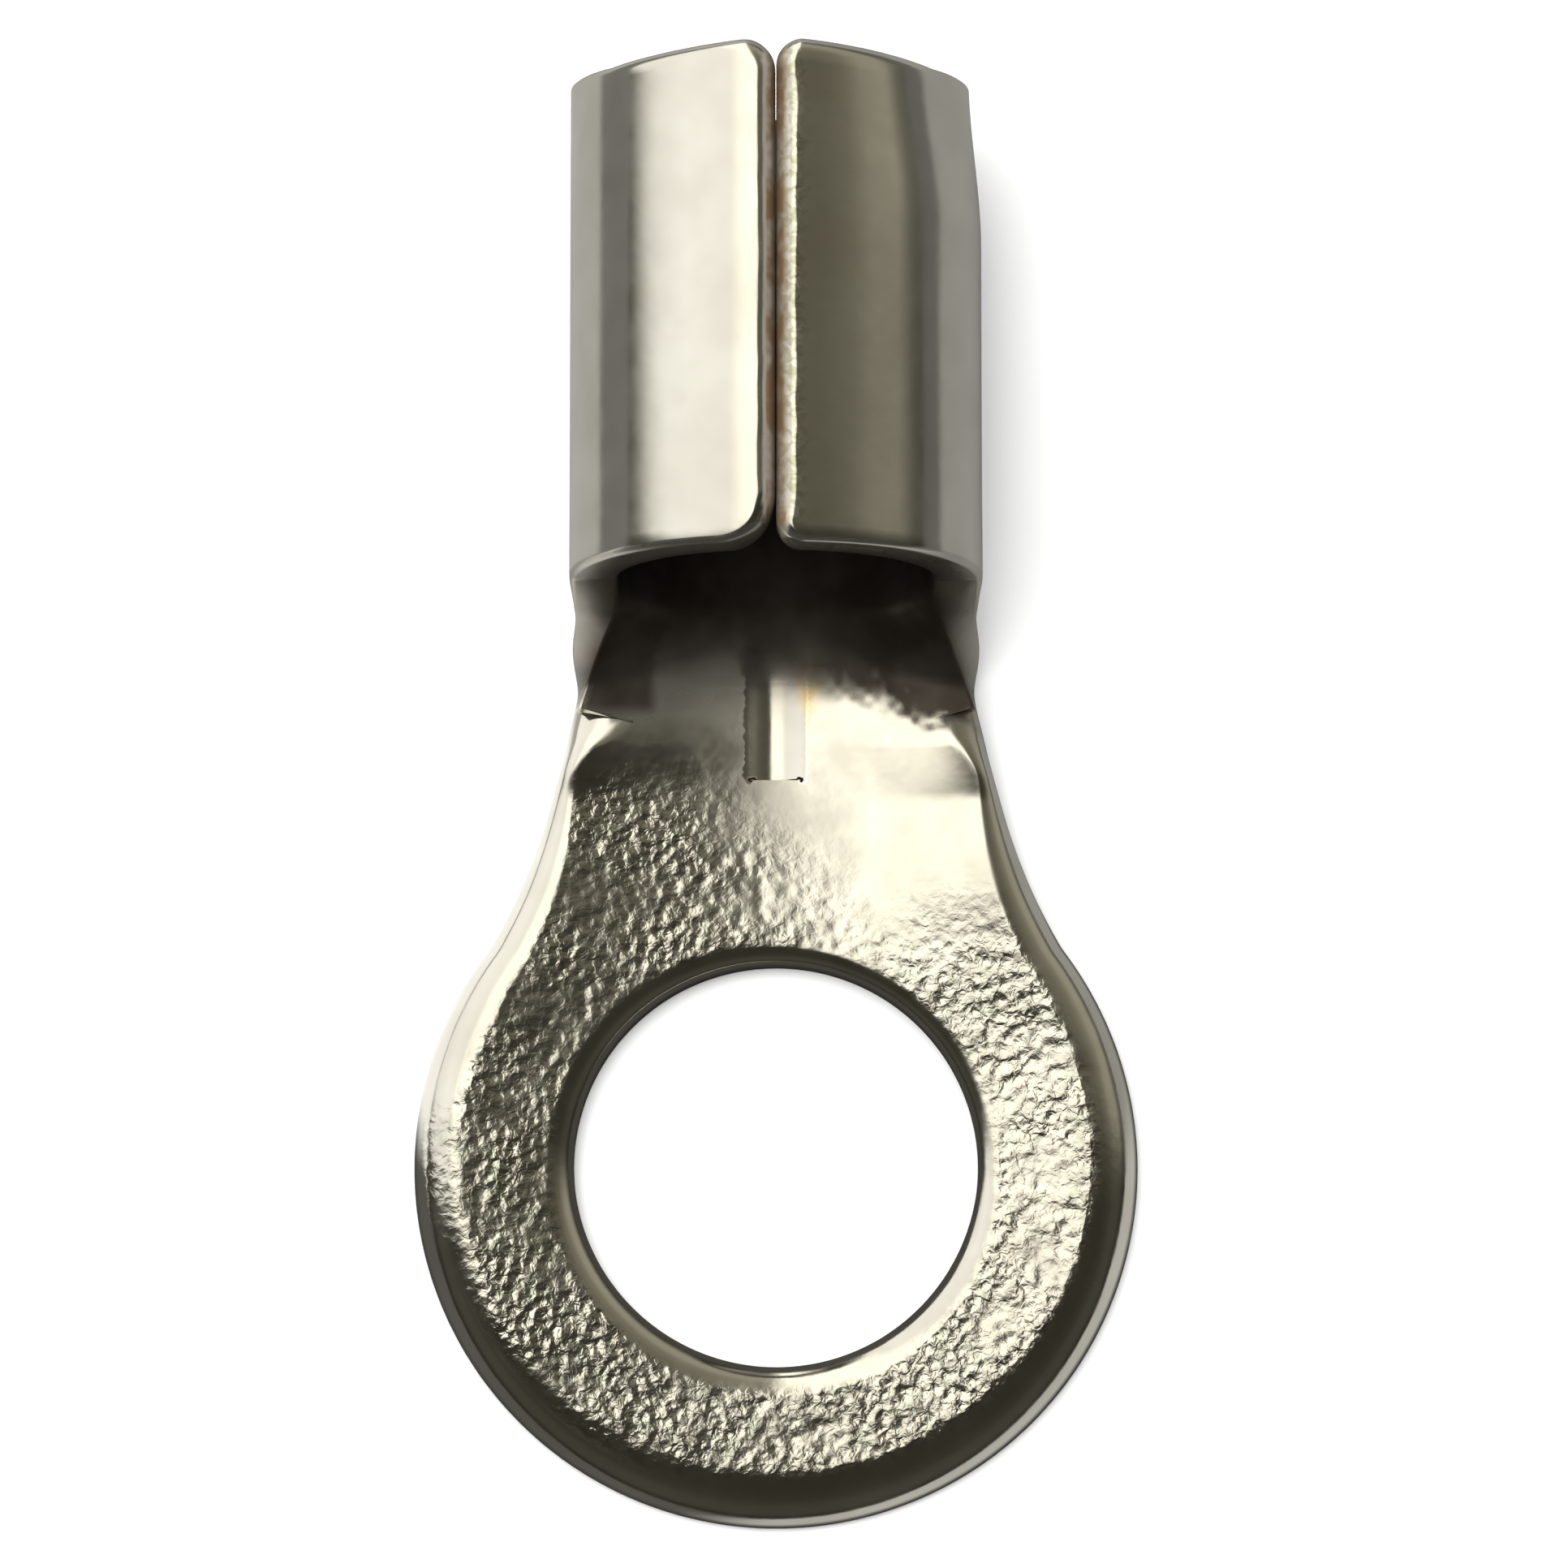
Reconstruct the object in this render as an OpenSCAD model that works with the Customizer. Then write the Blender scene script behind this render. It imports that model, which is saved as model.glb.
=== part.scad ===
// Non-insulated ring terminal.
// One blank of tin-plated copper sheet: a flat ring with a stud hole, a waisted
// neck, and a wing on each side that is rolled up into a round wire barrel.
// The wings' edges meet in a butt seam along the top of the barrel.
//
// Frame, in millimetres: the origin is the centre of the stud hole on the
// tongue's flat underside. +Z is up through the hole, +Y runs along the barrel
// towards the wire, and the part is the same on both sides of X = 0.

/* [Tongue] */
// Outside diameter of the ring
ring_d = 12; // [11.6:0.1:12.6]
// Diameter of the stud hole, a clearance hole for an M6 stud
stud_hole_d = 6.7; // [5.2:0.1:7]
// Thickness of the sheet
sheet_t = 0.8; // [0.7:0.05:1]
// Rounding of the tongue's upper outer edge
edge_r = 0.6; // [0.3:0.05:0.6]
// Rounding of the stud hole's upper edge
hole_edge_r = 0.35; // [0.1:0.05:0.4]
// Radius of the concave waist between the ring and the barrel
waist_r = 10; // [9:0.5:11]
// Distance from the stud hole to the narrowest line of the waist
waist_y = 8.7; // [8.5:0.1:8.9]

/* [Barrel] */
// Outside diameter of the wire barrel
barrel_d = 6.8; // [6.6:0.1:7]
// Length of the wire barrel, from its front edge to its mouth
barrel_l = 8.4; // [7:0.1:10]
// Distance from the stud hole to the barrel's front edge
front_y = 9.3; // [9.2:0.1:9.6]
// Rounding of the outer edge at the barrel's mouth
mouth_edge_r = 0.3; // [0.1:0.05:0.35]

/* [Seam] */
// Gap between the two butted edges of the sheet
seam_gap = 0.06; // [0.04:0.01:0.12]
// Rounding of the two lips along the seam, on the outside
seam_lip_r = 0.24; // [0.1:0.02:0.3]
// Rounding of each lip's corners at the ends of the seam
seam_corner_r = 0.45; // [0.2:0.05:0.6]

/* [Transition] */
// Distance from the stud hole to where the neck starts to curl upwards
curl_y = 6; // [5.8:0.1:6.1]
// How much the neck's sides draw in for each millimetre, at the shoulder
neck_taper = 0.25; // [0.15:0.01:0.3]
// Curvature of the neck's shallow trough at the shoulder, in 1/mm
trough_k = 0.03; // [0.01:0.01:0.05]
// Distance from the stud hole to the shoulder, where the wings fold up
shoulder_y = 7.5; // [7.4:0.05:7.6]
// Radius of the notch between the neck and each wing's front edge
notch_r = 0.9; // [0.85:0.05:1]
// Length along the barrel over which each wing's front edge slopes back into the notch
notch_rise = 0.35; // [0.3:0.05:0.4]

/* [Neck groove] */
// Width of the groove pressed into the neck's floor
groove_w = 0.96; // [0.6:0.02:1.2]
// Depth of the groove
groove_depth = 0.15; // [0.08:0.01:0.2]
// Distance from the stud hole to the groove's front end
groove_y = 6.4; // [6.2:0.05:6.8]

/* [Hidden] */
$fn = 96;
tin = [0.72, 0.70, 0.65];
ring_r = ring_d / 2;
barrel_r = barrel_d / 2;
bore_r = barrel_r - sheet_t;
mid_r = barrel_r - sheet_t / 2;
edge = min(edge_r, sheet_t - 0.2);
hole_edge = min(hole_edge_r, sheet_t - 0.3);
// centre of the waist's arc, which all but touches the ring's outline and so
// crosses it at a slight angle
waist_x = sqrt(pow(ring_r + waist_r - 0.03, 2) - pow(waist_y, 2));
tangent_deg = atan2(waist_y, waist_x);
// the notch's arc in the flat blank, from where it leaves the neck's side to
// the wing's sloping front edge: how far it turns each way, its centre, where
// it starts and where the slope takes over
notch_sweep = 70;
taper_deg = atan(neck_taper);
slope_from = front_y - notch_rise;
notch_y = slope_from - notch_r * sin(notch_sweep);
notch_from = notch_y - notch_r * sin(taper_deg);
notch_x = neck_half(notch_from) + notch_r * cos(taper_deg);
// the fold spreads inwards until the barrel starts, and the width of the band
// in which the sheet goes from flat to fully curled
fold_l = front_y - shoulder_y;
fold_band = 2;
// rows and columns of the transition's mesh
rows_neck = 5;
rows_fold = 9;
rows_slope = 3;
cols_mid = 20;
edge_steps = [0, 24, 48, 70, 90];
// the mesh's faces stand this little inside the exact faces they run into
inset = 0.012;
// each rounding's centre is raised this little, to cross the flat face cleanly
lift = 0.01;
groove_r = (pow(groove_w / 2, 2) + pow(groove_depth, 2)) / (2 * groove_depth);

// Half the neck's width in the flat blank, at distance y: along the waist's
// arc, then straightening out as it tapers towards the shoulder
function waist_half(y) = waist_x - sqrt(pow(waist_r, 2) - pow(y - waist_y, 2));
function waist_slope(y) = (waist_y - y) / sqrt(pow(waist_r, 2) - pow(y - waist_y, 2));
function neck_half(y) =
    y <= curl_y
        ? waist_half(y)
        : let(
              l = notch_from - curl_y,
              more = waist_slope(curl_y) - neck_taper,
              t = min(1, (y - curl_y) / l)
          )
          waist_half(curl_y) - neck_taper * (y - curl_y) - more * l * (1 - pow(1 - t, 3)) / 3;

// Half the blank's width, from the waist into the notch below each wing
function blank_half(y) =
    y <= notch_from
        ? neck_half(y)
        : notch_x - sqrt(max(0, pow(notch_r, 2) - pow(min(y, slope_from) - notch_y, 2)))
            + max(0, y - slope_from) * tan(notch_sweep);

// Distance in the flat blank from a point to its cut edge
function to_edge(u, y) =
    y <= notch_from
        ? (neck_half(y) - abs(u)) * cos(atan((neck_half(y - 0.01) - neck_half(y)) / 0.01))
        : norm([abs(u) - notch_x, y - notch_y]) - notch_r;

function smooth(t) = let(c = min(1, max(0, t))) c * c * (3 - 2 * c);

// The area under smooth(), from the left up to t
function smooth_sum(t) = t <= 0 ? 0 : t >= 1 ? t - 0.5 : pow(t, 3) - pow(t, 4) / 2;

// How far the sheet has turned up, in degrees, at distance u from the middle.
// The fold starts at the neck's edges at the shoulder, spreads inwards, and
// reaches the middle where the section has become the barrel's.
function turned(u, y) =
    let(
        trough = trough_k * smooth((y - curl_y) / (shoulder_y - curl_y)),
        reach = blank_half(shoulder_y) + fold_band / 2,
        from = reach - (reach + fold_band / 2) * min(1, max(0, (y - shoulder_y) / fold_l)),
        c = 0.5 - from / fold_band
    )
    (trough * u + (1 / mid_r - trough) * fold_band
        * (smooth_sum(c + u / fold_band) - smooth_sum(c))) * 180 / PI;

function total(v, i = 0) = i == len(v) ? 0 : v[i] + total(v, i + 1);

// How far the rounded edge lies below the sheet's upper face
function drop(d) =
    d >= edge ? 0 : max(0, edge - lift - sqrt(pow(edge, 2) - pow(edge - max(0, d), 2)));

// The rounded edge fades out where the sheet folds up into the wings
function edge_share(y) = 1 - smooth((y - shoulder_y + 0.3) / 1.3);

function face_inset(y) = inset * smooth((y - shoulder_y) / fold_l);

// The point at u across the blank, y along it and n above its underside,
// after the sheet is bent up
function bent(u, y, n) =
    let(
        steps = 16,
        h = abs(u) / steps,
        along = [for (i = [0:steps - 1]) turned((i + 0.5) * h, y)],
        end = turned(abs(u), y),
        x = h * total([for (a = along) cos(a)]) - (n - sheet_t / 2) * sin(end),
        z = h * total([for (a = along) sin(a)]) + (n - sheet_t / 2) * cos(end)
    )
    [u < 0 ? -x : x, y, sheet_t / 2 + z];

// Places of the columns across the blank: close together under the rounded
// edges, even across the middle
function column_u(w) =
    let(
        in = [for (a = edge_steps) inset + 1.08 * edge * (1 - cos(a))],
        m = w - in[len(in) - 1]
    )
    concat(
        [for (d = in) d - w],
        [for (i = [1:cols_mid - 1]) -m + 2 * m * i / cols_mid],
        [for (i = [len(in) - 1:-1:0]) w - in[i]]
    );

// Rows: even along the neck, then along the notch's arc and the slope up to the
// front edge, and a last one inside the barrel's wall
row_y = concat(
    [for (i = [0:rows_neck]) curl_y + (notch_from - curl_y) * i / rows_neck],
    [for (i = [1:rows_fold])
        notch_y + notch_r * sin(-taper_deg + (notch_sweep + taper_deg) * i / rows_fold)],
    [for (i = [1:rows_slope]) slope_from + notch_rise * i / rows_slope],
    [front_y + 0.2]
);

// The 2D corner that rounds a section's upper outer edge at radius r
module outer_corner(r, h, e) {
    difference() {
        translate([r - e, h - e + lift]) square([1 + e, 1 + e]);
        translate([r - e, h - e + lift]) circle(r = e);
    }
}

// A round cutter up its own axis that leaves a wall at radius r with its
// upper edge rounded by e
module round_cut(r, e) {
    rotate_extrude() {
        translate([0, -1]) square([r, 1 + sheet_t - e + lift]);
        difference() {
            translate([0, sheet_t - e + lift]) square([r + e, 1 + e]);
            translate([r + e, sheet_t - e + lift]) circle(r = e);
        }
    }
}

// The flat tongue up to where the neck starts to curl
module tongue() {
    difference() {
        union() {
            difference() {
                rotate_extrude() difference() {
                    square([ring_r, sheet_t]);
                    outer_corner(ring_r, sheet_t, edge);
                }
                // the neck takes over from the ring here
                translate([-ring_r, 0.7 * ring_r, -1]) cube([2 * ring_r, ring_r, sheet_t + 2]);
            }
            difference() {
                linear_extrude(height = sheet_t) polygon([
                    [0, 0],
                    1.04 * ring_r * [cos(tangent_deg), sin(tangent_deg)],
                    [neck_half(curl_y) + 0.4, curl_y],
                    [-neck_half(curl_y) - 0.4, curl_y],
                    1.04 * ring_r * [-cos(tangent_deg), sin(tangent_deg)]
                ]);
                for (s = [-1, 1]) translate([s * waist_x, waist_y]) round_cut(waist_r, edge);
            }
        }
        round_cut(stud_hole_d / 2, hole_edge);
    }
}

// The trough that carries the flat neck over into the round barrel
module transition() {
    under = [for (y = row_y) for (u = column_u(blank_half(min(y, front_y))))
        bent(u, y, face_inset(y))];
    upper = [for (y = row_y) for (u = column_u(blank_half(min(y, front_y))))
        bent(u, y, sheet_t - face_inset(y)
            - edge_share(y) * drop(to_edge(u, min(y, front_y)) - inset))];
    cols = len(column_u(1));
    rows = len(row_y);
    n = cols * rows;
    last = (rows - 1) * cols;
    sheet = [for (j = [0:rows - 2]) for (i = [0:cols - 2])
        let(a = j * cols + i, b = a + 1, c = b + cols, d = a + cols)
        each [[a, b, c], [a, c, d], [n + a, n + c, n + b], [n + a, n + d, n + c]]];
    sides = [for (j = [0:rows - 2])
        let(a = j * cols, d = a + cols, b = a + cols - 1, c = b + cols)
        each [[a, d, n + d], [a, n + d, n + a], [b, n + c, c], [b, n + b, n + c]]];
    ends = [for (i = [0:cols - 2])
        let(a = i, b = i + 1, c = last + i, d = last + i + 1)
        each [[a, n + b, b], [a, n + a, n + b], [c, d, n + d], [c, n + d, n + c]]];
    polyhedron(points = concat(under, upper), faces = concat(sheet, sides, ends), convexity = 6);
}

// The rolled barrel, with its mouth's outer edge rounded
module barrel() {
    translate([0, front_y, barrel_r]) rotate([-90, 0, 0]) rotate_extrude() difference() {
        translate([bore_r, 0]) square([sheet_t, barrel_l]);
        outer_corner(barrel_r, barrel_l, mouth_edge_r);
    }
}

// What the seam leaves open: the gap, the rounded lips and the lips' corners
module seam() {
    lip_x = seam_gap / 2 + seam_lip_r;
    lip_z = barrel_d - seam_lip_r + 0.01;
    far_y = front_y + barrel_l;
    translate([0, far_y + 1, 0]) rotate([90, 0, 0]) linear_extrude(height = barrel_l + 2) {
        translate([-seam_gap / 2, barrel_r]) square([seam_gap, barrel_r + 1]);
        difference() {
            translate([-lip_x, lip_z]) square([2 * lip_x, 1]);
            for (s = [-1, 1]) translate([s * lip_x, lip_z]) circle(r = seam_lip_r);
        }
    }
    corner_x = seam_gap / 2 + seam_corner_r - 0.02;
    corner_y = seam_corner_r - 0.02;
    translate([0, 0, barrel_r]) linear_extrude(height = barrel_r + 1)
        for (s = [0, 1]) mirror([s, 0]) {
            translate([0, front_y]) difference() {
                translate([0, -1]) square([corner_x, 1 + corner_y]);
                translate([corner_x, corner_y]) circle(r = seam_corner_r);
            }
            translate([0, far_y]) difference() {
                translate([0, -corner_y]) square([corner_x, 1 + corner_y]);
                translate([corner_x, -corner_y]) circle(r = seam_corner_r);
            }
        }
}

// The groove pressed into the neck's floor
module groove() {
    translate([0, groove_y, sheet_t + groove_r - groove_depth]) rotate([-90, 0, 0])
        cylinder(r = groove_r, h = front_y - 0.4 - groove_y);
}

module terminal() {
    color(tin) difference() {
        union() {
            tongue();
            transition();
            barrel();
        }
        seam();
        groove();
    }
}

terminal();
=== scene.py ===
import math

import bpy
import numpy as np
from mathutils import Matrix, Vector
from mathutils.geometry import delaunay_2d_cdt


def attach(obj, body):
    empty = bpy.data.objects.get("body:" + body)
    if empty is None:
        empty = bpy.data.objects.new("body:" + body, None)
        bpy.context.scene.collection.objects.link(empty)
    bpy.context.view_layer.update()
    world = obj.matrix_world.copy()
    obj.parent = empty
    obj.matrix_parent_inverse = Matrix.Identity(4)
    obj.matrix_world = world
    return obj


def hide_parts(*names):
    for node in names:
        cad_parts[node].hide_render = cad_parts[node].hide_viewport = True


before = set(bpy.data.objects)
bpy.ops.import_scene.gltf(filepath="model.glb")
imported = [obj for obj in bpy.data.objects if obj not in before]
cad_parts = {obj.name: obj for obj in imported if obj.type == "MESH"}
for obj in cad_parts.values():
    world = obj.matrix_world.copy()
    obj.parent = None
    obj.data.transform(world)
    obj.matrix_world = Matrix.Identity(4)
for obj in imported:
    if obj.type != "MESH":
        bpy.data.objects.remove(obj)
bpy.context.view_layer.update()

# ---------------------------------------------------------------- sizes, mm
SHEET = 0.8
RING_R = 6.0
HOLE_R = 3.35
MID_R = 3.0
WAIST_R = 10.0
WAIST_Y = 8.7
FRONT_Y = 9.3
BACK_Y = 17.7
SEAM_U = math.pi * MID_R - 0.007
CURL_Y = 6.0
NECK_TAPER = 0.25
TROUGH_K = 0.03
SHOULDER_Y = 7.5
FOLD_L = FRONT_Y - SHOULDER_Y
FOLD_BAND = 2.0
NOTCH_R = 0.9
NOTCH_RISE = 0.35
SWEEP = 70
GROOVE_W = 0.96
GROOVE_D = 0.15
GROOVE_Y = 6.43

WAIST_X = math.sqrt((RING_R + WAIST_R - 0.03) ** 2 - WAIST_Y ** 2)
TAPER_DEG = math.degrees(math.atan(NECK_TAPER))
NOTCH_Y = FRONT_Y - NOTCH_RISE - NOTCH_R * math.sin(math.radians(SWEEP))
NOTCH_FROM = NOTCH_Y - NOTCH_R * math.sin(math.radians(TAPER_DEG))


def smooth(t):
    c = np.clip(t, 0, 1)
    return c * c * (3 - 2 * c)


def smooth_sum(t):
    return np.where(t <= 0, 0.0, np.where(t >= 1, t - 0.5, t ** 3 - t ** 4 / 2))


def ramp(x, *pairs):
    xs, ys = zip(*pairs)
    return np.interp(x, xs, ys)


def waist_half(y):
    return WAIST_X - np.sqrt(np.maximum(WAIST_R ** 2 - (y - WAIST_Y) ** 2, 0))


def waist_slope(y):
    return (WAIST_Y - y) / math.sqrt(WAIST_R ** 2 - (y - WAIST_Y) ** 2)


def neck_half(y):
    y = np.asarray(y, float)
    length = NOTCH_FROM - CURL_Y
    more = waist_slope(CURL_Y) - NECK_TAPER
    t = np.clip((y - CURL_Y) / length, 0, 1)
    past = waist_half(CURL_Y) - NECK_TAPER * (y - CURL_Y) - more * length * (1 - (1 - t) ** 3) / 3
    return np.where(y <= CURL_Y, waist_half(np.minimum(y, CURL_Y)), past)


NOTCH_X = float(neck_half(NOTCH_FROM)) + NOTCH_R * math.cos(math.radians(TAPER_DEG))
SHOULDER_HALF = float(neck_half(SHOULDER_Y))


def turned(u, y):
    trough = TROUGH_K * smooth((y - CURL_Y) / (SHOULDER_Y - CURL_Y))
    reach = SHOULDER_HALF + FOLD_BAND / 2
    start = reach - (reach + FOLD_BAND / 2) * np.clip((y - SHOULDER_Y) / FOLD_L, 0, 1)
    c = 0.5 - start / FOLD_BAND
    return trough * u + smooth((y - CURL_Y) / 0.8) * (1 / MID_R - trough) * FOLD_BAND * (
        smooth_sum(c + u / FOLD_BAND) - smooth_sum(c))


def bent(u, y, n):
    """From the flat blank to the rolled part: across, along, and out of the underside, all in mm."""
    u, y, n = (np.asarray(a, float) for a in (u, y, n))
    a = np.abs(u)
    steps = 48
    mids = (np.arange(steps) + 0.5) / steps
    x = np.zeros_like(a)
    z = np.zeros_like(a)
    for m in mids:
        t = turned(a * m, y)
        x += np.cos(t)
        z += np.sin(t)
    x *= a / steps
    z *= a / steps
    end = turned(a, y)
    x = x - (n - SHEET / 2) * np.sin(end)
    z = z + (n - SHEET / 2) * np.cos(end)
    return np.stack([np.sign(u) * x, y, SHEET / 2 + z], axis=-1)


# ---------------------------------------------------------------- grain
def hashed(ix, iy, seed):
    h = (ix.astype(np.int64) * 374761393 + iy.astype(np.int64) * 668265263 + seed * 2147483647) & 0xFFFFFFFF
    h = ((h ^ (h >> 13)) * 1274126177) & 0xFFFFFFFF
    h = (h ^ (h >> 16)) & 0xFFFFFFFF
    return h / 4294967295.0


def value_noise(x, y, seed):
    ix, iy = np.floor(x).astype(np.int64), np.floor(y).astype(np.int64)
    fx, fy = smooth(x - ix), smooth(y - iy)
    a = hashed(ix, iy, seed)
    b = hashed(ix + 1, iy, seed)
    c = hashed(ix, iy + 1, seed)
    d = hashed(ix + 1, iy + 1, seed)
    return (a * (1 - fx) + b * fx) * (1 - fy) + (c * (1 - fx) + d * fx) * fy - 0.5


def cells(x, y, seed):
    """Distance to the nearest of a jittered grid of points, in cells."""
    ix, iy = np.floor(x).astype(np.int64), np.floor(y).astype(np.int64)
    best = np.full(x.shape, 9.0)
    for dx in (-1, 0, 1):
        for dy in (-1, 0, 1):
            px = ix + dx + hashed(ix + dx, iy + dy, seed)
            py = iy + dy + hashed(ix + dx, iy + dy, seed + 7)
            best = np.minimum(best, np.hypot(px - x, py - y))
    return best


def grain(u, y):
    """The stamped tongue's orange-peel surface, roughly -1 to 1."""
    wx = 0.10 * value_noise(u / 0.31, y / 0.31, 11)
    wy = 0.10 * value_noise(u / 0.31, y / 0.31, 12)
    c = cells((u + wx) / 0.24, (y + wy) / 0.24, 3)
    return (0.5 - np.minimum(c, 1.0)) * 1.2 + 0.9 * value_noise(u / 0.19, y / 0.19, 5) + 0.6 * value_noise(u / 0.5, y / 0.5, 6)


GRAIN_H = 0.006


def grain_mask(u, y):
    start = ramp(u, (-2.5, 7.4), (-1.0, 6.9), (0.5, 5.6), (3.0, 5.0))
    return 0.05 + 0.95 * (1 - smooth((y - start + 1.9) / 2.1))


# ---------------------------------------------------------------- outline of the blank
def outline_half(corner_front, corner_back):
    """Right half of the blank's outline, from the ring's near end round to the far end of the barrel."""
    pts = []
    step = 0.075
    first = math.radians(-90)
    last = math.radians(31)
    count = int((last - first) * RING_R / step)
    for i in range(count + 1):
        a = first + (last - first) * i / count
        pts.append((RING_R * math.cos(a), RING_R * math.sin(a), "ring"))
    y = pts[-1][1]
    while y + 0.06 < 7.60:
        y += 0.065
        ring = math.sqrt(max(RING_R ** 2 - y * y, 0))
        pts.append((max(ring, float(neck_half(y))), y, "neck"))
    for y in (7.600, 7.612, 7.66, 7.72, 7.78):
        pts.append((float(neck_half(y)), y, "neck"))
    a0, a1 = 180 + TAPER_DEG, 180 - SWEEP
    count = 34
    for i in range(count + 1):
        a = math.radians(a0 + (a1 - a0) * i / count)
        pts.append((NOTCH_X + NOTCH_R * math.cos(a), NOTCH_Y + NOTCH_R * math.sin(a), "notch"))
    u, y = pts[-1][:2]
    end = u + (FRONT_Y - y) * math.tan(math.radians(SWEEP))
    for i in range(1, 15):
        pts.append((u + (end - u) * i / 14, y + (FRONT_Y - y) * i / 14, "notch"))
    u = end
    stop = SEAM_U - corner_front
    count = int((stop - u) / 0.09)
    for i in range(1, count + 1):
        pts.append((u + (stop - u) * i / count, FRONT_Y, "front"))
    count = max(6, int(corner_front * math.pi / 2 / 0.05))
    for i in range(1, count + 1):
        a = math.radians(-90 + 90 * i / count)
        pts.append((stop + corner_front * math.cos(a), FRONT_Y + corner_front + corner_front * math.sin(a), "seam"))
    y = pts[-1][1]
    stop_y = BACK_Y - corner_back
    count = int((stop_y - y) / 0.09)
    for i in range(1, count + 1):
        pts.append((SEAM_U, y + (stop_y - y) * i / count, "seam"))
    count = max(6, int(corner_back * math.pi / 2 / 0.05))
    for i in range(1, count + 1):
        a = math.radians(90 * i / count)
        pts.append((SEAM_U - corner_back + corner_back * math.cos(a), stop_y + corner_back * math.sin(a), "mouth"))
    u = pts[-1][0]
    count = int(u / 0.09)
    for i in range(1, count + 1):
        pts.append((u * (1 - i / count), BACK_Y, "mouth"))
    return pts


right = outline_half(0.45, 0.45)
left = outline_half(0.85, 0.55)
outline = right[:-1] + [(-u, y, k) for u, y, k in reversed(left)][:-1]
out_uv = np.array([(u, y) for u, y, _ in outline])
out_kind = [k for _, _, k in outline]
count = len(outline)
nxt = np.roll(out_uv, -1, 0)
prv = np.roll(out_uv, 1, 0)
tan = nxt - prv
tan /= np.maximum(np.linalg.norm(tan, axis=1), 1e-9)[:, None]
out_in = np.stack([-tan[:, 1], tan[:, 0]], 1)  # counter-clockwise outline: the metal is on the left

# rounding of the upper (tongue side, inside of the barrel) and lower (underside, outside of the barrel) edges
top_w, top_h, low_w, low_h = (np.zeros(count) for _ in range(4))
for i, (u, y, k) in enumerate(outline):
    if k in ("ring", "neck"):
        if y < 7.606:
            top_w[i] = ramp(y, (-6, 0.88), (-3, 0.82), (2.6, 0.78), (3.6, 0.70), (4.6, 0.64), (5.2, 0.55), (5.9, 0.40),
                            (6.6, 0.26), (7.03, 0.42), (7.22, 0.74 if u < 0 else 0.62), (7.61, 1.0 if u < 0 else 0.74))
            top_h[i] = ramp(y, (-6, 0.66), (2.6, 0.64), (4.6, 0.56), (5.6, 0.44), (6.6, 0.34), (7.61, 0.50 if u < 0 else 0.36))
        else:
            top_w[i], top_h[i] = 0.06, 0.06
        low_w[i], low_h[i] = 0.08, 0.08
    elif k == "notch":
        top_w[i], top_h[i] = 0.06, 0.06
        low_w[i], low_h[i] = 0.10, 0.10
    elif k == "front":
        top_w[i], top_h[i] = 0.07, 0.07
        low_w[i], low_h[i] = 0.12, 0.12
    elif k == "seam":
        top_w[i], top_h[i] = 0.05, 0.05
        t = ramp(y, (9.3, 0.0), (9.9, 1.0))
        low_w[i] = 0.12 + (0.18 if u > 0 else 0.14) * t
        low_h[i] = 0.12 + 0.24 * t
        # the sheared lips are a little uneven along the seam
        low_w[i] += t * (0.05 if u > 0 else 0.03) * 2 * value_noise(np.array([y / 0.26]), np.array([1.5 if u > 0 else 9.5]), 21)[0]
    else:
        top_w[i], top_h[i] = 0.12, 0.12
        low_w[i] = ramp(abs(u), (3.2, 0.28), (4.0, 0.07), (5.0, 0.07), (6.2, 0.11), (7.4, 0.22), (8.2, 0.28))
        low_h[i] = low_w[i] * 1.07


def soften(a, passes, keep):
    for _ in range(passes):
        b = 0.25 * np.roll(a, 1) + 0.5 * a + 0.25 * np.roll(a, -1)
        a = np.where(keep, a, b)
    return a


at_step = np.array([k == "neck" and 7.45 < y < 7.9 for _, y, k in outline])
top_w, top_h, low_w, low_h = (soften(a, 6, at_step) for a in (top_w, top_h, low_w, low_h))

hole_n = 280
hole_a = np.linspace(0, 2 * math.pi, hole_n, endpoint=False)
hole_uv = np.stack([HOLE_R * np.cos(hole_a), HOLE_R * np.sin(hole_a)], 1)[::-1]  # clockwise: the metal is on the left
hole_in = hole_uv / HOLE_R


def hole_width(x, y):
    """Width of the rounding round the hole's upper edge: narrow at the top and right, wide at the bottom."""
    turn = np.degrees(np.arctan2(y, x)) % 360
    return ramp(turn, (0, 0.27), (45, 0.24), (90, 0.28), (135, 0.36), (180, 0.42), (225, 0.46), (270, 0.52), (300, 0.54),
                (328, 0.48), (350, 0.32), (360, 0.27))


hole_top = (hole_width(hole_uv[:, 0], hole_uv[:, 1]), 0.84 * hole_width(hole_uv[:, 0], hole_uv[:, 1]))
hole_low = (np.full(hole_n, 0.10), np.full(hole_n, 0.10))

# ---------------------------------------------------------------- mesh of the sheet, in the blank
V, F = [], []  # V rows: u, y, n


def add(rows):
    start = len(V)
    V.extend(rows)
    return list(range(start, start + len(rows)))


def strip(a, b, flip):
    k = len(a)
    for i in range(k):
        j = (i + 1) % k
        F.append((a[i], a[j], b[j], b[i]) if not flip else (b[i], b[j], a[j], a[i]))


def rounding(uv, inward, w, h, top, rows):
    """Loops from the wall (first) to the flat face (last)."""
    loops = []
    for r in range(rows + 1):
        a = math.pi / 2 * r / rows
        p = uv + inward * (w * (1 - math.cos(a)))[:, None]
        drop = h * (1 - math.sin(a))
        n = SHEET - drop if top else drop
        loops.append((p, n))
    return loops


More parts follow.
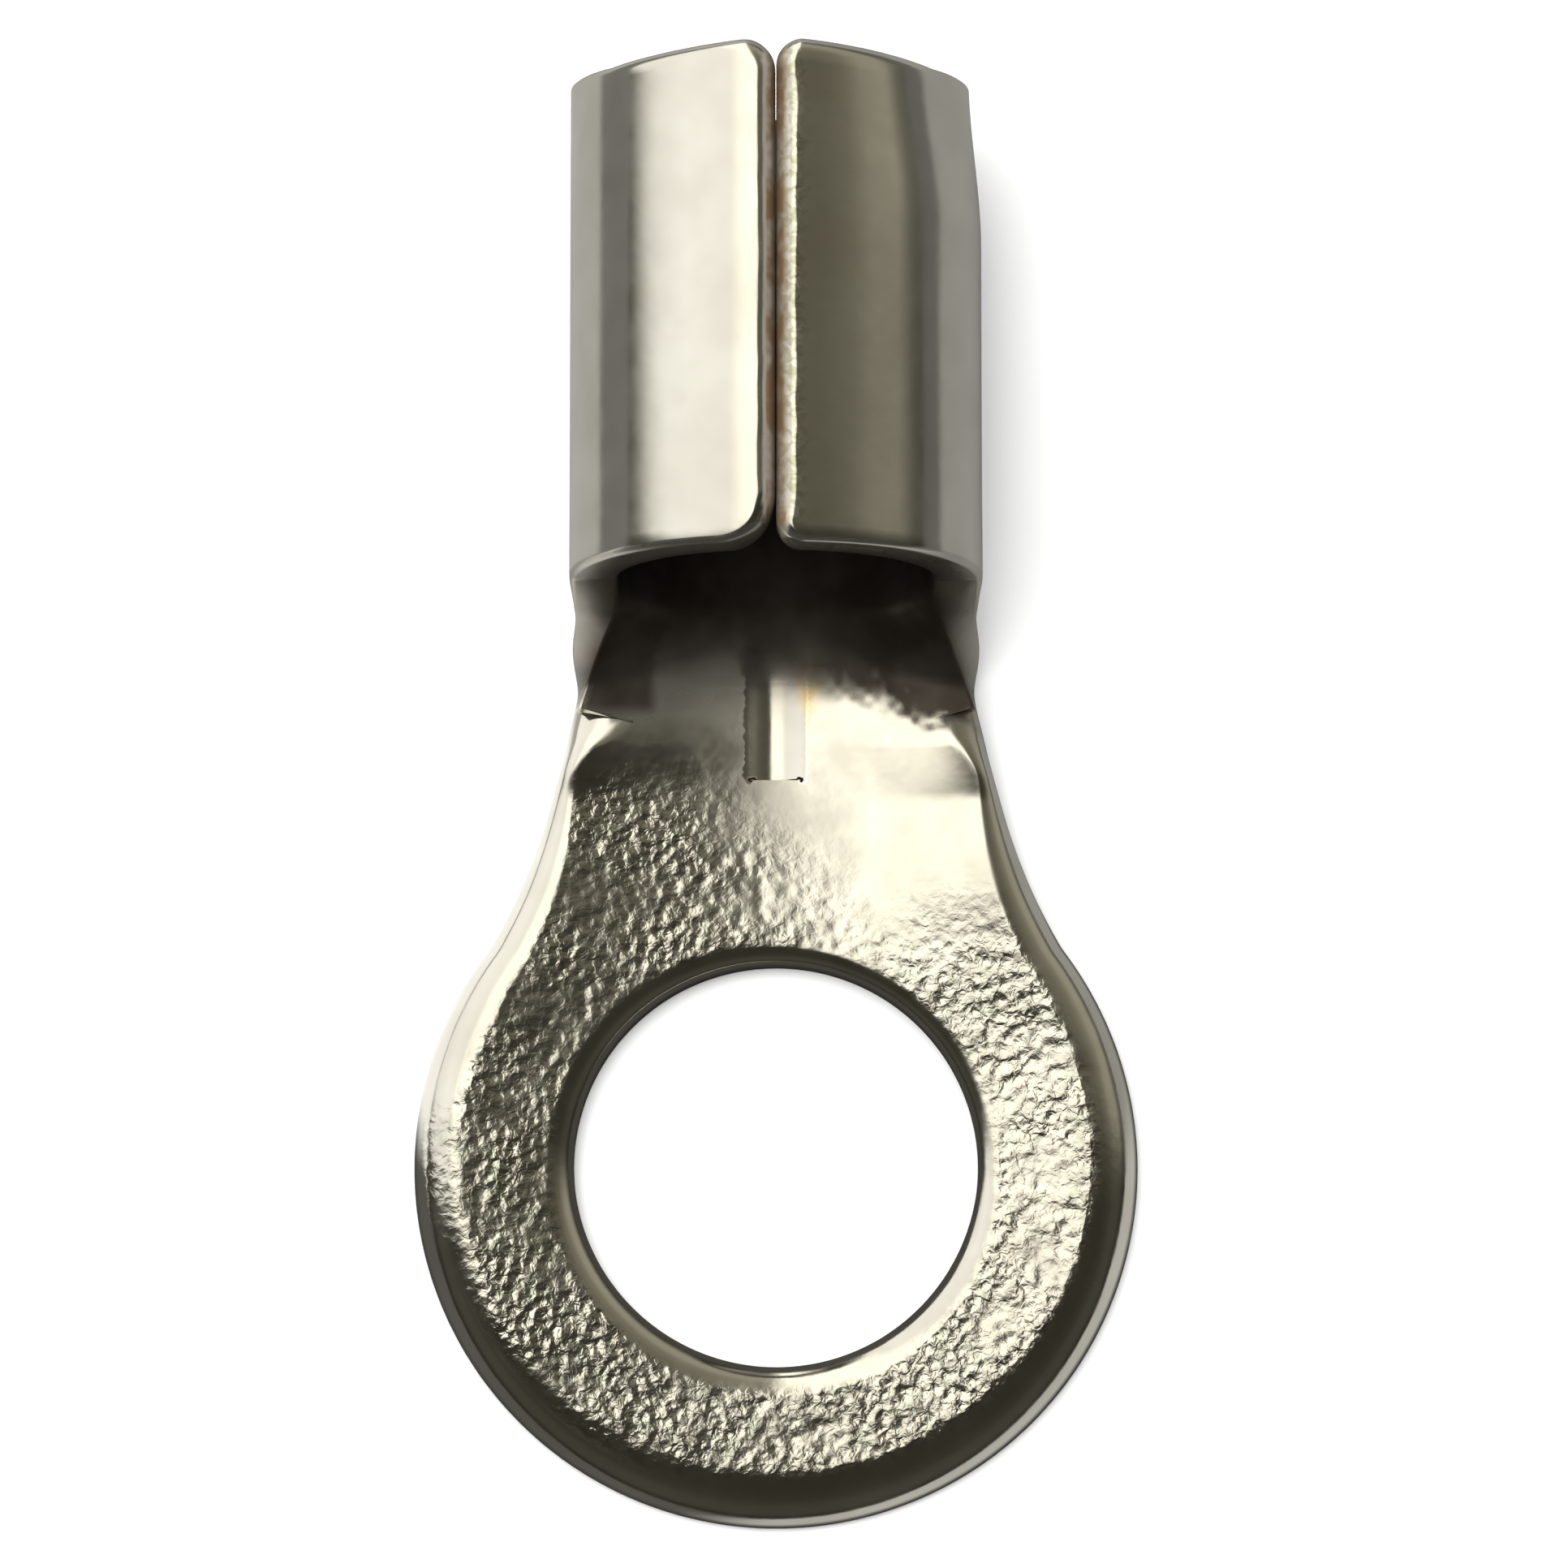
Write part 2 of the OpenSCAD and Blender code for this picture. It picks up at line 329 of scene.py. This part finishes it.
def band(uv, inward, top_wh, low_wh, rows_top, rows_low):
    """The whole edge from the lower face's inner loop up over the wall to the upper face's inner loop."""
    low = rounding(uv, inward, *low_wh, False, rows_low)
    top = rounding(uv, inward, *top_wh, True, rows_top)
    loops = list(reversed(low)) + top
    ids = [add([(p[i, 0], p[i, 1], n[i]) for i in range(len(p))]) for p, n in loops]
    for a, b in zip(ids, ids[1:]):
        strip(a, b, False)
    return ids[0], ids[-1]


low_outer, top_outer = band(out_uv, out_in, (top_w, top_h), (low_w, low_h), 12, 6)
low_hole, top_hole = band(hole_uv, hole_in, hole_top, hole_low, 10, 4)


def inside(points, poly):
    x, y = points[:, 0], points[:, 1]
    hit = np.zeros(len(points), bool)
    x0, y0 = poly[:, 0], poly[:, 1]
    x1, y1 = np.roll(x0, -1), np.roll(y0, -1)
    for a, b, c, d in zip(x0, y0, x1, y1):
        if b == d:
            continue
        cross = (b > y) != (d > y)
        hit ^= cross & (x < (c - a) * (y - b) / (d - b) + a)
    return hit


def near(points, seeds, gap):
    """True where a point has a seed nearer than gap."""
    cell = {}
    for p in seeds:
        cell.setdefault((int(math.floor(p[0] / gap)), int(math.floor(p[1] / gap))), []).append(p)
    out = np.zeros(len(points), bool)
    for i, (x, y) in enumerate(points):
        cx, cy = int(math.floor(x / gap)), int(math.floor(y / gap))
        for ax in (-1, 0, 1):
            for ay in (-1, 0, 1):
                for p in cell.get((cx + ax, cy + ay), ()):
                    if (p[0] - x) ** 2 + (p[1] - y) ** 2 < gap * gap:
                        out[i] = True
                        break
                if out[i]:
                    break
            if out[i]:
                break
    return out


def hex_grid(x0, x1, y0, y1, d, seed):
    rows = []
    k = 0
    y = y0
    dy = d * math.sqrt(3) / 2
    while y <= y1:
        xs = np.arange(x0 + (d / 2 if k % 2 else 0), x1, d)
        rows.append(np.stack([xs, np.full_like(xs, y)], 1))
        y += dy
        k += 1
    pts = np.concatenate(rows)
    rng = np.random.default_rng(seed)
    return pts + rng.uniform(-0.08 * d, 0.08 * d, pts.shape)


def fill(outer_ids, hole_ids, grids, extra_lines, height, flip):
    """Triangulates a face of the sheet between its two loops."""
    outer = np.array([V[i][:2] for i in outer_ids])
    hole = np.array([V[i][:2] for i in hole_ids])
    line_pts = [p for line in extra_lines for p in line]
    seeds = np.concatenate([outer, hole] + ([np.array(line_pts)] if line_pts else []))
    kept = []
    for pts, gap, area in grids:
        pts = pts[area(pts)]
        pts = pts[inside(pts, outer) & ~inside(pts, hole)]
        pts = pts[~near(pts, seeds, gap)]
        if kept:
            pts = pts[~near(pts, np.concatenate(kept), gap)]
        kept.append(pts)
    inner = np.concatenate(kept)
    co = [Vector((float(x), float(y))) for x, y in np.concatenate([outer, hole])]
    a, b = len(outer), len(hole)
    edges = [(i, (i + 1) % a) for i in range(a)] + [(a + i, a + (i + 1) % b) for i in range(b)]
    given = list(outer_ids) + list(hole_ids)
    for line in extra_lines:
        start = len(co)
        co += [Vector((float(x), float(y))) for x, y in line]
        edges += [(start + i, start + i + 1) for i in range(len(line) - 1)]
        given += [None] * len(line)
    co += [Vector((float(x), float(y))) for x, y in inner]
    given += [None] * len(inner)
    vo, _, fo, ov, _, _ = delaunay_2d_cdt(co, edges, [], 0, 1e-7)
    vo = np.array([(v.x, v.y) for v in vo])
    ids = [None] * len(vo)
    new = []
    for i, src in enumerate(ov):
        for s in src:
            if given[s] is not None:
                ids[i] = given[s]
                break
        if ids[i] is None:
            new.append(i)
    heights = height(vo[new, 0], vo[new, 1])
    made = add([(vo[i, 0], vo[i, 1], h) for i, h in zip(new, heights)])
    for i, m in zip(new, made):
        ids[i] = m
    tri = np.array([f for f in fo if len(f) == 3])
    mid = vo[tri].mean(axis=1)
    ok = inside(mid, outer) & ~inside(mid, hole)
    for f in tri[ok]:
        a, b, c = (ids[k] for k in f)
        F.append((a, b, c) if not flip else (c, b, a))


def groove_depth(u, y):
    low = -0.10  # its lowest line lies a little left of the middle
    wide = np.where(u < low, GROOVE_W / 2 + low, GROOVE_W / 2 - low)
    across = np.clip(1 - ((u - low) / wide) ** 2, 0, 1)
    along = smooth((y - (GROOVE_Y - 0.004)) / 0.03) * (1 - smooth((y - 8.2) / 1.0))
    return GROOVE_D * across * along


def line(x0, y0, x1, y1, step):
    k = max(1, int(math.hypot(x1 - x0, y1 - y0) / step))
    return [(x0 + (x1 - x0) * i / k, y0 + (y1 - y0) * i / k) for i in range(k + 1)]


fine, coarse = ((0.062, 0.15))
tongue = lambda p: p[:, 1] < 8.2
barrel = lambda p: p[:, 1] >= 8.2 + coarse * 0.3
everywhere = lambda p: np.ones(len(p), bool)
g = GROOVE_W / 2
groove_lines = [
    line(-g, GROOVE_Y - 0.006, g, GROOVE_Y - 0.006, 0.06),
    line(-g + 0.05, GROOVE_Y + 0.028, g - 0.05, GROOVE_Y + 0.028, 0.06),
    line(-g, GROOVE_Y + 0.06, -g, 9.0, 0.06),
    line(g, GROOVE_Y + 0.06, g, 9.0, 0.06),
]
fill(top_outer, top_hole,
     [(hex_grid(-6, 6, -6, 8.3, fine, 1), fine * 0.6, tongue),
      (hex_grid(-9.5, 9.5, 8.1, 17.7, coarse, 2), coarse * 0.6, barrel)],
     groove_lines, lambda u, y: SHEET - groove_depth(u, y), False)
fill(low_outer, low_hole, [(hex_grid(-9.5, 9.5, -6, 17.7, coarse, 4), coarse * 0.6, everywhere)],
     [], lambda u, y: 0 * u, True)

V = np.array(V, float)
U, Y, N = V[:, 0], V[:, 1], V[:, 2]
EDGE = np.full(len(V), 9.0)  # how far in from the blank's cut edge, and how wide that edge's rounding is
WIDE = np.zeros(len(V))
for k in range(len(out_uv)):
    d = np.hypot(U - out_uv[k, 0], Y - out_uv[k, 1])
    WIDE = np.where(d < EDGE, top_w[k], WIDE)
    EDGE = np.minimum(EDGE, d)
face = smooth((N - 0.45) / 0.3)
# painted shade in the bore: it ends along a ragged slanting line on the right, and fades out slowly on the left
rag = (0.35 * value_noise(U / 0.13, Y / 0.13, 51) + 0.30 * value_noise(U / 0.4, Y / 0.4, 52)) * smooth((U - 0.5) / 0.8)
bore_shade_r = smooth((Y + rag - ramp(U, (0.0, 7.62), (1.67, 7.58), (2.57, 7.18), (3.4, 7.0))) / ramp(U, (0.0, 0.95), (1.67, 0.55), (2.57, 0.40)))
bore_shade_l = ramp(Y, (6.6, 0.0), (7.25, 0.16), (7.66, 0.42), (8.07, 0.64), (8.6, 0.88), (9.1, 1.0))
bore_shade_l = np.maximum(bore_shade_l, smooth((-U - 1.7) / 0.5) * smooth((Y - 7.25) / 0.45))
to_left = smooth((-U - 0.15) / 0.5)
inner = face * (bore_shade_r * (1 - to_left) + bore_shade_l * to_left * smooth((EDGE - 0.8 * WIDE) / 0.1))
inner = np.maximum(inner, face * smooth((Y - 7.75) / 0.3) * to_left * bore_shade_l)
# the sheared edges beside the bore get painted shade too, more on the left
cut = smooth((Y - 7.6) / 0.25) * (1 - smooth((EDGE - np.where(Y < 9.6, 0.07, 0.02)) / 0.06))
bore_shade_mask = np.maximum(inner, np.where(U > 0, 0.30, 0.62) * cut)
in_seam = SEAM_U - np.abs(U)
mask_seam = smooth((Y - 9.2) / 0.4) * (1 - smooth((in_seam - 0.12) / 0.07)) * (1 - face)
mask_lip = smooth((Y - 9.4) / 0.4) * (1 - smooth((in_seam - 0.26) / 0.12)) * (1 - face) * np.where(U > 0, 1.0, 0.0)
# the grain stops at the rounded edges, sooner on the right than on the lower left
left_low = smooth((-U - 0.5) / 2) * smooth((1.5 - Y) / 2)
left_mid = smooth((-U - 3.0) / 1.0) * smooth((Y + 1.5) / 0.8) * (1 - smooth((Y - 0.5) / 0.8))
edge_fade = smooth((EDGE - WIDE * (0.80 - 0.30 * left_low - 0.70 * left_mid)) / 0.12) * smooth((np.hypot(U, Y) - HOLE_R - 0.72 * hole_width(U, Y)) / 0.16)
mask_grain = grain_mask(U, Y) * smooth((N - 0.3) / 0.3) * (0.10 + 0.90 * edge_fade)
mask_grain *= 1 - (0.50 - 0.38 * smooth((-U - 0.3) / 1.0)) * smooth((Y - 2.6) / 1.4)
mask_grain *= 0.70 + 0.9 * (value_noise(U / 0.9, Y / 0.9, 41) + 0.2 * value_noise(U / 0.4, Y / 0.4, 42))
upper = smooth((N - 0.25) / 0.3)
# orange-peel grain pressed into the tongue's upper face; a little waviness where the edge was sheared
dish_k = ramp(Y, (-6, 0.011), (1.5, 0.014), (4.5, 0.024), (7.0, 0.024), (8.8, 0.0))
dish_k = dish_k * (1 - 0.10 * smooth(-U / 2.0) * (1 - smooth((Y - 4.5) / 2.0)))
dish = ramp(Y, (-6, -0.08), (8.0, -0.08), (9.3, 0.0)) + 0.5 * dish_k * np.minimum(np.abs(U), ramp(Y, (7.2, 5.4), (7.7, 3.7))) ** 2
# the neck's sides start to rise a little later than the bend alone would have them
dish = dish + np.where(U > 0, 0.055, 0.0) * smooth((np.abs(U) - 1.5) / 1.3) * (1 - smooth((Y - 6.2) / 1.1)) * smooth((Y - 2.5) / 3.0)
N = N + smooth(N / SHEET) * dish
rough_part = np.clip((grain_mask(U, Y) - 0.25) / 0.75, 0, 1) ** 2
rough_part = rough_part * smooth((EDGE - WIDE - 0.02) / 0.15) * smooth((np.hypot(U, Y) - HOLE_R - hole_width(U, Y) - 0.02) / 0.12)
N = N + upper * GRAIN_H * grain(U, Y) * rough_part
roll = smooth((Y - 9.5) / 1.5)
N = N + (1 - smooth(N / 0.3)) * roll * 0.010 * (
    smooth((value_noise(U / 1.1, Y / 4.5, 31) + 0.5)) + 0.35 * value_noise(U / 0.5, Y / 2.2, 32))
V = bent(U, Y, N)
V[:, 2] = np.clip(V[:, 2], 0.0, None)
# the barrel's mouth draws in a little on its right side
pull = smooth((V[:, 1] - 14.8) / 3.2) * smooth((V[:, 0] - 0.6) / 2.6)
V[:, 0] -= 0.21 * pull
# and its end is cut back a little towards the sides, straighter than a true round
turn = np.arctan2(np.abs(V[:, 0]), V[:, 2] - 3.4)
V[:, 1] -= smooth((V[:, 1] - 15.0) / 2.6) * ramp(turn, (0.12, 0.0), (0.62, 0.13), (0.95, 0.20), (1.3, 0.16), (1.57, 0.11), (2.4, 0.0))
V[:, 2] = np.where(V[:, 1] > 9.0, np.minimum(V[:, 2], 6.79), V[:, 2])
V[:, 0] = np.where(V[:, 1] < 7.4, np.clip(V[:, 0], -5.9998, 5.9998), V[:, 0])

mesh = bpy.data.meshes.new("ring_terminal_sheet")
mesh.from_pydata((V * 0.001).tolist(), [], [tuple(int(i) for i in f) for f in F])
mesh.update()
piece = bpy.data.objects.new("ring_terminal_sheet", mesh)
bpy.context.scene.collection.objects.link(piece)
for p in mesh.polygons:
    p.use_smooth = True
# the inside attribute carries the bore's painted shade
for name, values in (("inside", bore_shade_mask), ("seam", mask_seam), ("lip", mask_lip), ("grain", np.clip(mask_grain, 0, 1))):
    mesh.attributes.new(name, "FLOAT", "POINT").data.foreach_set("value", values.astype(np.float32))
mesh.set_sharp_from_angle(angle=math.radians(52))
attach(piece, "root")
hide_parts("terminal")
print("triangles", sum(len(f) - 2 for f in F))


# ---------------------------------------------------------------- material
def node(tree, kind, **values):
    made = tree.nodes.new(kind)
    for key, value in values.items():
        setattr(made, key, value)
    return made


mat = bpy.data.materials.new("tinned_copper")
mat.use_nodes = True
tree = mat.node_tree
tree.nodes.clear()
link = tree.links.new
out = node(tree, "ShaderNodeOutputMaterial")
bsdf = node(tree, "ShaderNodeBsdfPrincipled")
bsdf.inputs["Metallic"].default_value = 1.0
link(bsdf.outputs[0], out.inputs[0])
coord = node(tree, "ShaderNodeTexCoord")
where = coord.outputs["Object"]
split = node(tree, "ShaderNodeSeparateXYZ")
link(where, split.inputs[0])


def noise(scale, detail=2.0, rough=0.5, distortion=0.0, vector=None):
    t = node(tree, "ShaderNodeTexNoise")
    t.inputs["Scale"].default_value = scale
    t.inputs["Detail"].default_value = detail
    t.inputs["Roughness"].default_value = rough
    t.inputs["Distortion"].default_value = distortion
    link(vector if vector is not None else where, t.inputs["Vector"])
    return t.outputs["Fac"]


def remap(value, a, b, c, d, kind="SMOOTHSTEP"):
    m = node(tree, "ShaderNodeMapRange", interpolation_type=kind)
    link(value, m.inputs["Value"])
    for socket, v in zip(("From Min", "From Max", "To Min", "To Max"), (a, b, c, d)):
        m.inputs[socket].default_value = v
    return m.outputs["Result"]


def calc(op, a, b):
    m = node(tree, "ShaderNodeMath", operation=op)
    for socket, v in zip(m.inputs, (a, b)):
        if isinstance(v, (int, float)):
            socket.default_value = v
        else:
            link(v, socket)
    return m.outputs[0]


def blend(fac, a, b):
    m = node(tree, "ShaderNodeMix", data_type="RGBA")
    link(fac, m.inputs["Factor"])
    for socket, v in zip((m.inputs[6], m.inputs[7]), (a, b)):
        if isinstance(v, tuple):
            socket.default_value = (*v, 1)
        else:
            link(v, socket)
    return m.outputs[2]


def attribute(name):
    t = node(tree, "ShaderNodeAttribute", attribute_type="GEOMETRY", attribute_name=name)
    return t.outputs["Fac"]


grainy = attribute("grain")
peel = node(tree, "ShaderNodeTexVoronoi", feature="SMOOTH_F1")
peel.inputs["Scale"].default_value = 5600
peel.inputs["Smoothness"].default_value = 0.35
peel.inputs["Randomness"].default_value = 1.0
link(where, peel.inputs["Vector"])
height = calc("ADD", calc("MULTIPLY", peel.outputs["Distance"], 0.75), calc("MULTIPLY", noise(7800, 2, 0.55, 0.6), 0.75))
# tin with faint warm mottling; darker where the grain's bump height is highest
colour = blend(remap(noise(620, 2, 0.6), 0.35, 0.68, 0, 1), (0.785, 0.765, 0.70), (0.715, 0.69, 0.625))
colour = blend(calc("MULTIPLY", remap(noise(3100, 1, 0.5), 0.50, 0.70, 0.0, 0.55), grainy), colour, (0.69, 0.76, 0.62))
colour = blend(calc("MULTIPLY", remap(height, 0.72, 1.05, 0.0, 0.5), grainy), colour, (0.33, 0.31, 0.27))
# brown stain down in the seam
stain = calc("MULTIPLY", attribute("seam"), remap(noise(1900, 2, 0.6), 0.3, 0.6, 0.6, 1.0))
speck = noise(6500, 1, 0.5, 0.8)
colour = blend(calc("MULTIPLY", attribute("lip"), remap(speck, 0.38, 0.66, 0.1, 0.8)), colour, (0.40, 0.41, 0.27))
colour = blend(stain, colour, (0.15, 0.09, 0.042))
# yellowed spot beside the groove
flat = node(tree, "ShaderNodeVectorMath", operation="MULTIPLY")
link(where, flat.inputs[0])
flat.inputs[1].default_value = (2.4, 1.0, 1.0)
spot = node(tree, "ShaderNodeVectorMath", operation="DISTANCE")
link(flat.outputs[0], spot.inputs[0])
spot.inputs[1].default_value = (0.00130, 0.0080, 0.0008)
yellow = calc("MULTIPLY", remap(spot.outputs["Value"], 0.0002, 0.0007, 0.8, 0.0), remap(noise(2600, 2, 0.5), 0.35, 0.6, 0.25, 1.0))
colour = blend(yellow, colour, (0.80, 0.60, 0.30))
# painted shade: the barrel's bore and the sheared edges by it are painted dark; they are also made duller and rougher
bore_shade_and_dull = calc("MULTIPLY", attribute("inside"), remap(noise(900, 2, 0.5), 0.3, 0.7, 0.90, 1.0))
colour = blend(bore_shade_and_dull, colour, (0.085, 0.068, 0.053))
link(calc("SUBTRACT", 1.0, calc("MAXIMUM", calc("MULTIPLY", stain, 0.85), calc("MULTIPLY", bore_shade_and_dull, 0.10))), bsdf.inputs["Metallic"])
link(colour, bsdf.inputs["Base Color"])
rough = calc("ADD", remap(noise(1500, 2, 0.6), 0.3, 0.7, 0.115, 0.175), calc("MULTIPLY", bore_shade_and_dull, 0.25))
rough = calc("ADD", rough, calc("MULTIPLY", stain, 0.4))
link(rough, bsdf.inputs["Roughness"])
bump = node(tree, "ShaderNodeBump")
bump.inputs["Distance"].default_value = 0.000015
bump.inputs["Strength"].default_value = 1.0
bumps = calc("ADD", calc("MULTIPLY", height, grainy), calc("MULTIPLY", noise(2400, 2, 0.6), 0.05))
bumps = calc("ADD", bumps, calc("MULTIPLY", calc("MULTIPLY", speck, attribute("lip")), 0.25))
link(bumps, bump.inputs["Height"])
link(bump.outputs[0], bsdf.inputs["Normal"])
mesh.materials.append(mat)

# ---------------------------------------------------------------- floor
def disc(name, radius, z, rings=1):
    m = bpy.data.meshes.new(name)
    k = 96
    m.from_pydata([(radius * math.cos(2 * math.pi * i / k), radius * math.sin(2 * math.pi * i / k), 0) for i in range(k)],
                  [], [tuple(range(k))])
    o = bpy.data.objects.new(name, m)
    o.location = (0, 0, z)
    bpy.context.scene.collection.objects.link(o)
    return o


floor = disc("floor", 0.32, -0.00002)
floor.visible_glossy = False
floor.visible_shadow = False
floor_mat = bpy.data.materials.new("pale_floor")
floor_mat.use_nodes = True
fb = floor_mat.node_tree.nodes["Principled BSDF"]
fb.inputs["Base Color"].default_value = (0.90, 0.90, 0.895, 1)
fb.inputs["Roughness"].default_value = 0.9
fb.inputs["Specular IOR Level"].default_value = 0.0
floor.data.materials.append(floor_mat)

# what the metal sees of the table: a greyer sheet that only reflections see, with painted light and shade on it
card = disc("table_card_painted_light_and_shade", 1.15, -0.00004)
card.visible_camera = False
card.visible_diffuse = False
card.visible_shadow = False
card_mat = bpy.data.materials.new("table_card_painted_light_and_shade")
card_mat.use_nodes = True
tree, link = card_mat.node_tree, card_mat.node_tree.links.new
cb = tree.nodes["Principled BSDF"]
cb.inputs["Roughness"].default_value = 0.9
cb.inputs["Specular IOR Level"].default_value = 0.0
cc = node(tree, "ShaderNodeTexCoord")
cs = node(tree, "ShaderNodeSeparateXYZ")
link(cc.outputs["Object"], cs.inputs[0])
cx, cy, _ = cs.outputs
# painted light: a bright patch at the upper left; painted shade: dark bands out to either side and at the lower left,
# and the sheet darker on the right and paler in front
upper_left_painted_light = calc("MULTIPLY", calc("MULTIPLY", remap(cy, 0.0000, 0.0014, 0.0, 1.0), remap(cy, 0.0072, 0.0085, 1.0, 0.0)),
                  remap(cx, -0.003, -0.001, 1.0, 0.0))
side_painted_shade = calc("MAXIMUM", remap(cx, -0.0150, -0.0125, 0.65, 0.0), remap(cx, 0.019, 0.028, 0.0, 0.65))
lower_left_painted_shade = calc("MULTIPLY", remap(cy, 0.0, 0.0015, 1.0, 0.0), remap(cx, -0.002, 0.0, 0.85, 0.0))
table = blend(remap(cx, -0.001, 0.001, 0, 1), (0.385, 0.38, 0.36), (0.285, 0.28, 0.265))
table = blend(remap(cy, 0.0, 0.002, 1.0, 0.0), table, (0.45, 0.44, 0.42))
table = blend(calc("MAXIMUM", side_painted_shade, lower_left_painted_shade), table, (0.03, 0.028, 0.024))
table = blend(upper_left_painted_light, table, (0.95, 0.94, 0.90))
# the strip right beside the ring, and what shows through its hole, is in shade
reach = node(tree, "ShaderNodeVectorMath", operation="LENGTH")
link(cc.outputs["Object"], reach.inputs[0])
shade = calc("MULTIPLY", remap(reach.outputs["Value"], 0.00605, 0.0066, 1.0, 0.0), calc("SUBTRACT", 1.0, upper_left_painted_light))
shade = calc("MAXIMUM", shade, remap(reach.outputs["Value"], 0.0034, 0.0036, 1.0, 0.0))
link(blend(shade, table, (0.06, 0.055, 0.05)), cb.inputs["Base Color"])
card.data.materials.append(card_mat)

# a plain pale backdrop that only the camera sees
bm_dome = bpy.data.meshes.new("backdrop")
rows, cols = 12, 48
dome_v = [(0.319 * math.cos(e) * math.cos(a), 0.319 * math.cos(e) * math.sin(a), 0.319 * math.sin(e) - 0.0001)
          for e in [math.pi / 2 * r / rows for r in range(rows)] for a in [2 * math.pi * c / cols for c in range(cols)]]
dome_f = [(r * cols + c, r * cols + (c + 1) % cols, (r + 1) * cols + (c + 1) % cols, (r + 1) * cols + c)
          for r in range(rows - 1) for c in range(cols)]
dome_f.append(tuple((rows - 1) * cols + c for c in range(cols)))
bm_dome.from_pydata(dome_v, [], dome_f)
dome = bpy.data.objects.new("backdrop", bm_dome)
bpy.context.scene.collection.objects.link(dome)
dome.visible_glossy = False
dome.visible_diffuse = False
dome.visible_shadow = False
dome_mat = bpy.data.materials.new("backdrop")
dome_mat.use_nodes = True
dt = dome_mat.node_tree
dt.nodes.clear()
de = node(dt, "ShaderNodeEmission")
de.inputs["Color"].default_value = (0.97, 0.97, 0.965, 1)
do = node(dt, "ShaderNodeOutputMaterial")
dt.links.new(de.outputs[0], do.inputs[0])
bm_dome.materials.append(dome_mat)

# ---------------------------------------------------------------- light
world = bpy.data.worlds.new("studio")
bpy.context.scene.world = world
world.use_nodes = True
tree = world.node_tree
link = tree.links.new
tree.nodes.clear()
wout = node(tree, "ShaderNodeOutputWorld")
wc = node(tree, "ShaderNodeTexCoord")
ws = node(tree, "ShaderNodeSeparateXYZ")
link(wc.outputs["Generated"], ws.inputs[0])
dx, dy, dz = ws.outputs
toleft = calc("MULTIPLY", dx, -1.0)


def stops(value, *pairs):
    r = node(tree, "ShaderNodeValToRGB")
    e = r.color_ramp.elements
    while len(e) < len(pairs):
        e.new(0.5)
    for x, (at, col) in zip(e, pairs):
        x.position = at
        x.color = (*col, 1)
    link(value, r.inputs[0])
    return r.outputs[0]


def grey(v, warm=0.0):
    return (v, v * (1 - 0.06 * warm), v * (1 - 0.28 * warm))


height = remap(dz, -1, 1, 0, 1, "LINEAR")
# the dim room on the right, with a paler wall low down
room = stops(height, (0.0, grey(0.30, 0.3)), (0.47, grey(0.25, 0.3)), (0.505, grey(0.12, 0.8)), (0.56, grey(0.15, 0.8)),
             (0.64, grey(0.36, 0.9)), (0.78, grey(0.34, 0.9)), (0.86, grey(0.23, 1)), (0.95, grey(0.17, 1.1)), (1.0, grey(0.165, 1.1)))
# the photographer's side is darker
facing = remap(dy, 0.06, 0.30, 0.16, 1.0)
room = blend(facing, (0.012, 0.010, 0.008), room)
# the window on the left: brightest near its upper edge
edge = calc("ADD", dz, calc("MULTIPLY", calc("SUBTRACT", dy, 0.19), 2.0))
window = calc("MULTIPLY", remap(toleft, -0.035, 0.045, 0.0, 1.0), remap(edge, 0.06, 0.44, 0.0, 1.0))
window = calc("MULTIPLY", window, remap(dy, 0.0, 0.125, 0.0, 1.0))
glow = stops(toleft, (0.0, grey(1.7, 0.5)), (0.30, grey(1.55, 0.55)), (0.42, grey(1.12, 0.35)), (0.75, grey(1.20, 0.25)), (1.0, grey(1.05, 0.3)))
sky = blend(window, room, glow)
bg = node(tree, "ShaderNodeBackground")
link(sky, bg.inputs["Color"])
link(bg.outputs[0], wout.inputs[0])
world.cycles_visibility.diffuse = False


def area(name, loc, aim, size, power, colour=(1, 1, 1), glossy=True):
    data = bpy.data.lights.new(name, "AREA")
    data.shape = "SQUARE"
    data.size = size
    data.energy = power
    data.color = colour
    lamp = bpy.data.objects.new(name, data)
    lamp.location = loc
    lamp.rotation_mode = "QUATERNION"
    lamp.rotation_quaternion = (Vector(loc) - Vector(aim)).to_track_quat("Z", "Y")
    lamp.visible_camera = False
    lamp.visible_glossy = glossy
    bpy.context.scene.collection.objects.link(lamp)
    return lamp


area("overhead", (-0.12, 0.10, 0.8), (0, 0.006, 0), 0.9, 15.0, glossy=False)

# ---------------------------------------------------------------- camera
cam_data = bpy.data.cameras.new("camera")
cam_data.sensor_width = 36
cam_data.lens = 249.5
cam_data.clip_start = 0.01
cam_data.clip_end = 20
cam = bpy.data.objects.new("camera", cam_data)
bpy.context.scene.collection.objects.link(cam)
el = math.radians(80.28)
aim = Vector((0.000133, 0.006218, 0.001555))
back = Vector((0, -math.cos(el), math.sin(el)))
cam.rotation_mode = "QUATERNION"
cam.location = aim + back * 0.180
cam.rotation_quaternion = (-back).to_track_quat("-Z", "Y")
bpy.context.scene.camera = cam
bpy.context.scene.view_settings.view_transform = "Standard"
